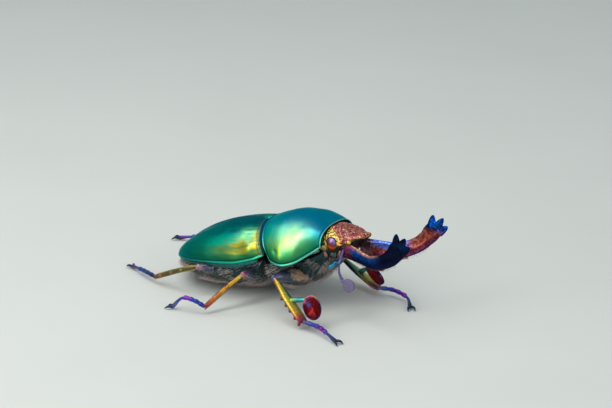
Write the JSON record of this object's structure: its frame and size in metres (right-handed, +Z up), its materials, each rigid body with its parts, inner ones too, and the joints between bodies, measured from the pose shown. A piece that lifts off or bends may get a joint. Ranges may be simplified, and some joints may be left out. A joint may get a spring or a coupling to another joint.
{
  "type": "green stag beetle",
  "caption": "Life-size male stag beetle with long upturned mandibles, metallic green body and spread legs, standing in a walking pose as a still display model.",
  "frame": {"origin": "on the floor under the middle of the bounding box", "axes": "+X towards the beetle's head, +Y to its left, +Z up from the floor"},
  "size_m": [0.0466, 0.0325, 0.0135],
  "materials": {
    "pronotum": "polished iridescent green cuticle, teal on top",
    "elytron": "satin iridescent teal-green cuticle",
    "scutellum": "polished cyan-green cuticle",
    "prosternum": "dark green cuticle with short hairs",
    "pterothorax": "dark cuticle with grey-pink hairs",
    "abdomen": "grey-pink cuticle with short hairs",
    "head": "coarsely pitted coppery cuticle",
    "eye": "glossy orange-brown",
    "mandible": "dark blue cuticle, reddish hairy inner face",
    "scape": "lilac cuticle",
    "funicle": "lilac cuticle",
    "antenna_club": "velvety grey-violet",
    "palp": "blue cuticle",
    "femur": "dark green to violet cuticle",
    "tibia": "golden cuticle, red at the tip",
    "tarsus": "blue-violet cuticle",
    "spur": "deep red cuticle, violet rim"
  },
  "bodies": {
    "root": {"abdomen": "abdomen", "antenna_club_left": "antenna_club", "antenna_club_right": "antenna_club", "elytron_left": "elytron", "elytron_right": "elytron", "eye_left": "eye", "eye_right": "eye", "fore_femur_left": "femur", "fore_femur_right": "femur", "fore_spur_left": "spur", "fore_spur_right": "spur", "fore_tarsus_left": "tarsus", "fore_tarsus_right": "tarsus", "fore_tibia_left": "tibia", "fore_tibia_right": "tibia", "funicle_left": "funicle", "funicle_right": "funicle", "head": "head", "hind_femur_left": "femur", "hind_femur_right": "femur", "hind_tarsus_left": "tarsus", "hind_tarsus_right": "tarsus", "hind_tibia_left": "tibia", "hind_tibia_right": "tibia", "mandible_left": "mandible", "mandible_right": "mandible", "mid_femur_left": "femur", "mid_femur_right": "femur", "mid_tarsus_left": "tarsus", "mid_tarsus_right": "tarsus", "mid_tibia_left": "tibia", "mid_tibia_right": "tibia", "palp_left": "palp", "palp_right": "palp", "pronotum": "pronotum", "prosternum": "prosternum", "pterothorax": "pterothorax", "scape_left": "scape", "scape_right": "scape", "scutellum": "scutellum"}
  },
  "joints": []
}
